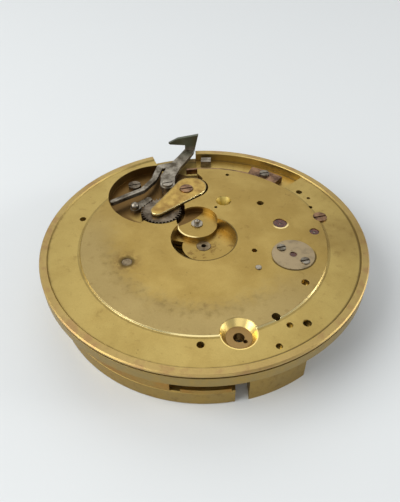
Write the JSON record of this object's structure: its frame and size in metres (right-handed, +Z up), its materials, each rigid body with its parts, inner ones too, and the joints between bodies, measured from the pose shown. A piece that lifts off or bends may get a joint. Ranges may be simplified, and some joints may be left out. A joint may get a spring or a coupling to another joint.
{
  "type": "pocket watch movement",
  "caption": "Gilt pocket watch movement, dial side up, with its dial, hands and minute wheel off: going train, lever escapement, balance, and a setting lever with a thumb tab.",
  "frame": {"origin": "centre of the back plate's outer face, on which the movement lies", "axes": "+Z up, out of the dial side; +Y towards the gap in the rim for the winding stem"},
  "size_m": [0.043, 0.0448, 0.0104],
  "materials": {
    "gilt_brass": "gilt, worn matt",
    "steel": "brushed, tarnished",
    "blued_steel": "heat blued",
    "ruby": "polished"
  },
  "bodies": {
    "movement": {"main_plate": "gilt_brass", "back_plate": "gilt_brass", "pillars": "gilt_brass", "pillar_screws": "blued_steel", "balance_cock": "gilt_brass", "cock_screw": "steel", "cock_pins": "gilt_brass", "escape_cock": "gilt_brass", "escape_cock_screw": "blued_steel", "endstone_cap": "steel", "cap_screws": "steel", "plate_jewels": "ruby", "cock_jewels": "ruby", "show_jewels": "ruby", "banking_pins": "gilt_brass", "hairspring_stud": "steel", "hairspring": "blued_steel", "setting_cock": "gilt_brass", "setting_cock_screw": "steel", "minute_post": "steel", "lever_post": "steel", "setting_spring": "blued_steel", "spring_screw": "steel", "stop_block": "steel", "yoke": "steel", "yoke_stud": "steel", "recess_screw": "steel", "plate_pin": "steel", "click_spring": "blued_steel", "click_screws": "steel", "crown_core": "steel"},
    "barrel": {"barrel_drum": "gilt_brass", "barrel_cover": "gilt_brass", "mainspring": "blued_steel"},
    "winding_arbor": {"barrel_arbor": "steel", "ratchet_wheel": "steel"},
    "crown": {"crown_wheel": "steel"},
    "click_arm": {"click": "steel"},
    "centre": {"centre_wheel": "gilt_brass", "centre_arbor": "steel"},
    "setting": {"setting_wheel": "steel"},
    "third": {"third_wheel": "gilt_brass", "third_arbor": "steel"},
    "fourth": {"fourth_wheel": "gilt_brass", "fourth_arbor": "steel"},
    "escape": {"escape_wheel": "steel", "escape_arbor": "steel"},
    "pallets": {"pallet_fork": "steel", "pallet_stones": "ruby", "pallet_arbor": "steel"},
    "balance": {"balance_wheel": "gilt_brass", "balance_screws": "gilt_brass", "balance_staff": "steel", "roller": "steel"},
    "regulator_arm": {"regulator": "steel"},
    "lever": {"setting_lever": "steel"}
  },
  "joints": [
    {"name": "third_spin", "type": "hinge", "parent": "movement", "child": "third", "pos_m": [0.0047, 0.00702, 0.004], "axis": [0, 0, 1], "continuous": true},
    {"name": "centre_spin", "type": "hinge", "parent": "movement", "child": "centre", "pos_m": [0, 0, 0.004], "axis": [0, 0, 1], "continuous": true},
    {"name": "barrel_spin", "type": "hinge", "parent": "movement", "child": "barrel", "pos_m": [-0.01058, -0.00215, 0.004], "axis": [0, 0, 1], "continuous": true},
    {"name": "fourth_spin", "type": "hinge", "parent": "movement", "child": "fourth", "pos_m": [0.00967, 0.00518, 0.004], "axis": [0, 0, 1], "continuous": true},
    {"name": "escape_spin", "type": "hinge", "parent": "movement", "child": "escape", "pos_m": [0.01087, 0.00025, 0.004], "axis": [0, 0, 1], "continuous": true},
    {"name": "pallet_rock", "type": "hinge", "parent": "movement", "child": "pallets", "pos_m": [0.01473, -0.00254, 0.004], "axis": [0, 0, 1], "range_deg": [-5, 5]},
    {"name": "balance_swing", "type": "hinge", "parent": "movement", "child": "balance", "pos_m": [0.01034, -0.00609, 0.004], "axis": [0, 0, 1], "range_deg": [-270, 270]},
    {"name": "regulator_turn", "type": "hinge", "parent": "movement", "child": "regulator_arm", "pos_m": [0.01034, -0.00609, 0.004], "axis": [0, 0, 1], "range_deg": [-18, 18]},
    {"name": "setting_spin", "type": "hinge", "parent": "movement", "child": "setting", "pos_m": [-0.0044, 0.0075, 0.004], "axis": [0, 0, 1], "continuous": true},
    {"name": "winding_spin", "type": "hinge", "parent": "movement", "child": "winding_arbor", "pos_m": [-0.01058, -0.00215, 0.004], "axis": [0, 0, 1], "continuous": true},
    {"name": "crown_spin", "type": "hinge", "parent": "movement", "child": "crown", "pos_m": [-0.00501, 0.0105, 0.004], "axis": [0, 0, 1], "continuous": true},
    {"name": "click_lift", "type": "hinge", "parent": "movement", "child": "click_arm", "pos_m": [-0.01302, -0.01124, 0.004], "axis": [0, 0, 1], "range_deg": [0, 8]},
    {"name": "setting_lever_rock", "type": "hinge", "parent": "movement", "child": "lever", "pos_m": [-0.00235, 0.01315, 0.004], "axis": [0, 0, 1], "range_deg": [0, 5]}
  ],
  "couplings": [
    {"joint": "centre_spin", "follows": "third_spin", "ratio": -0.125},
    {"joint": "barrel_spin", "follows": "third_spin", "ratio": 0.022436},
    {"joint": "fourth_spin", "follows": "third_spin", "ratio": -7.5},
    {"joint": "escape_spin", "follows": "third_spin", "ratio": 75},
    {"joint": "crown_spin", "follows": "winding_spin", "ratio": -1.2222}
  ]
}
